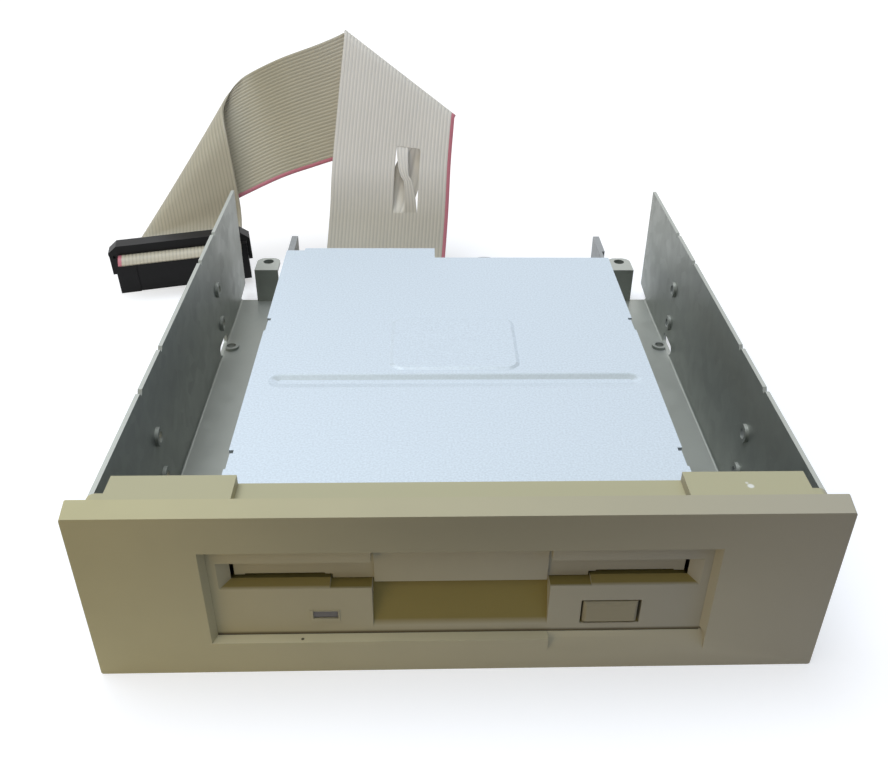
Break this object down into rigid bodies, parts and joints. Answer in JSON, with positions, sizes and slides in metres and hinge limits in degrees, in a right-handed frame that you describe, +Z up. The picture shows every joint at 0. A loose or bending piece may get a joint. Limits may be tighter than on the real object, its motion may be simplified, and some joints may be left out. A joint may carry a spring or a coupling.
{
  "type": "floppy disk drive",
  "caption": "Floppy disk drive in a half-height adaptor: moulded bezel, folded steel tray, drive with eject button, door flap and heads, and a folded ribbon cable with its socket.",
  "frame": {"origin": "under the middle of the adaptor's box, on the ground, measured without the cable", "axes": "+X to the right seen from the front, +Y towards the back, +Z up; the bezel faces -Y"},
  "size_m": [0.1954, 0.2357, 0.0805],
  "materials": {
    "bezel_plastic": "moulded, yellowed with age",
    "face_plastic": "moulded, fine grain",
    "tray_steel": "galvanised sheet",
    "cover_steel": "zinc plated sheet",
    "inner_steel": "plated",
    "screw_steel": "zinc plated",
    "cast_metal": "die cast",
    "lens_plastic": "smoked",
    "board_laminate": "solder mask",
    "copper_alloy": "plated or wound copper",
    "dark_plastic": "moulded",
    "white_plastic": "moulded",
    "head_ceramic": "polished ceramic",
    "ribbon_vinyl": "ribbed vinyl, one red edge"
  },
  "bodies": {
    "casing": {"adaptor_bezel": "bezel_plastic", "mounting_tray": "tray_steel", "bezel_screws": "screw_steel", "drive_mount_screws": "screw_steel", "drive_chassis": "cast_metal", "top_cover": "cover_steel", "drive_face": "face_plastic", "door_pin": "inner_steel", "door_spring": "inner_steel", "led_lens": "lens_plastic", "slider_springs": "inner_steel", "latch_post": "inner_steel", "motor_board": "board_laminate", "motor_stator": "copper_alloy", "spindle_bearing": "copper_alloy", "disk_sensors": "dark_plastic", "guide_rods": "inner_steel", "rod_clamps": "cast_metal", "stepper_motor": "inner_steel", "stepper_bracket": "inner_steel", "lead_screw_bearing": "cast_metal", "logic_board": "board_laminate", "logic_chips": "dark_plastic", "data_header": "dark_plastic", "header_pins": "copper_alloy", "power_connector": "white_plastic", "power_pins": "copper_alloy", "board_screws": "screw_steel", "drive_plug": "dark_plastic", "drive_plug_cover": "dark_plastic", "ribbon_cable": "ribbon_vinyl", "host_connector": "dark_plastic", "host_connector_cover": "dark_plastic"},
    "slider": {"eject_button": "face_plastic", "eject_slider": "inner_steel"},
    "cage": {"disk_cage": "inner_steel"},
    "latch": {"latch_lever": "inner_steel"},
    "door": {"door_flap": "face_plastic"},
    "spindle": {"spindle_rotor": "inner_steel", "spindle_shaft": "inner_steel", "spindle_hub": "inner_steel", "drive_pin": "inner_steel"},
    "carriage": {"head_carriage": "dark_plastic", "lower_head": "head_ceramic", "arm_pivot_pin": "inner_steel"},
    "head_arm": {"upper_head_arm": "inner_steel", "upper_head": "head_ceramic"},
    "screw": {"lead_screw": "copper_alloy"}
  },
  "joints": [
    {"name": "eject_slide", "type": "slide", "parent": "casing", "child": "slider", "axis": [0, -1, 0], "range_m": [0, 0.006], "deforming": ["slider_springs"]},
    {"name": "cage_drop", "type": "slide", "parent": "casing", "child": "cage", "axis": [0, 0, -1], "range_m": [0, 0.0025]},
    {"name": "latch_turn", "type": "hinge", "parent": "casing", "child": "latch", "pos_m": [0.034, 0.018, 0.0245], "axis": [0, 0, -1], "range_deg": [0, 30], "stiffness_Nm_per_rad": 0.001, "springref_deg": -17.19},
    {"name": "door_swing", "type": "hinge", "parent": "casing", "child": "door", "pos_m": [0, -0.0818, 0.0302], "axis": [1, 0, 0], "range_deg": [0, 84], "stiffness_Nm_per_rad": 0.002, "springref_deg": -22.92},
    {"name": "spindle_spin", "type": "hinge", "parent": "casing", "child": "spindle", "pos_m": [0, -0.0365, 0.015], "axis": [0, 0, 1], "continuous": true},
    {"name": "head_slide", "type": "slide", "parent": "casing", "child": "carriage", "axis": [0, -1, 0], "range_m": [0, 0.015]},
    {"name": "head_lower", "type": "hinge", "parent": "carriage", "child": "head_arm", "pos_m": [0, 0.03, 0.026], "axis": [1, 0, 0], "range_deg": [0, 10.8]},
    {"name": "screw_spin", "type": "hinge", "parent": "casing", "child": "screw", "pos_m": [0.0122, 0.022, 0.018], "axis": [0, 1, 0], "range_deg": [0, 1440]}
  ],
  "couplings": [
    {"joint": "cage_drop", "follows": "eject_slide", "ratio": 0.41667},
    {"joint": "head_lower", "follows": "eject_slide", "rad_per_m": 31.413},
    {"joint": "screw_spin", "follows": "head_slide", "rad_per_m": 1675.3}
  ]
}
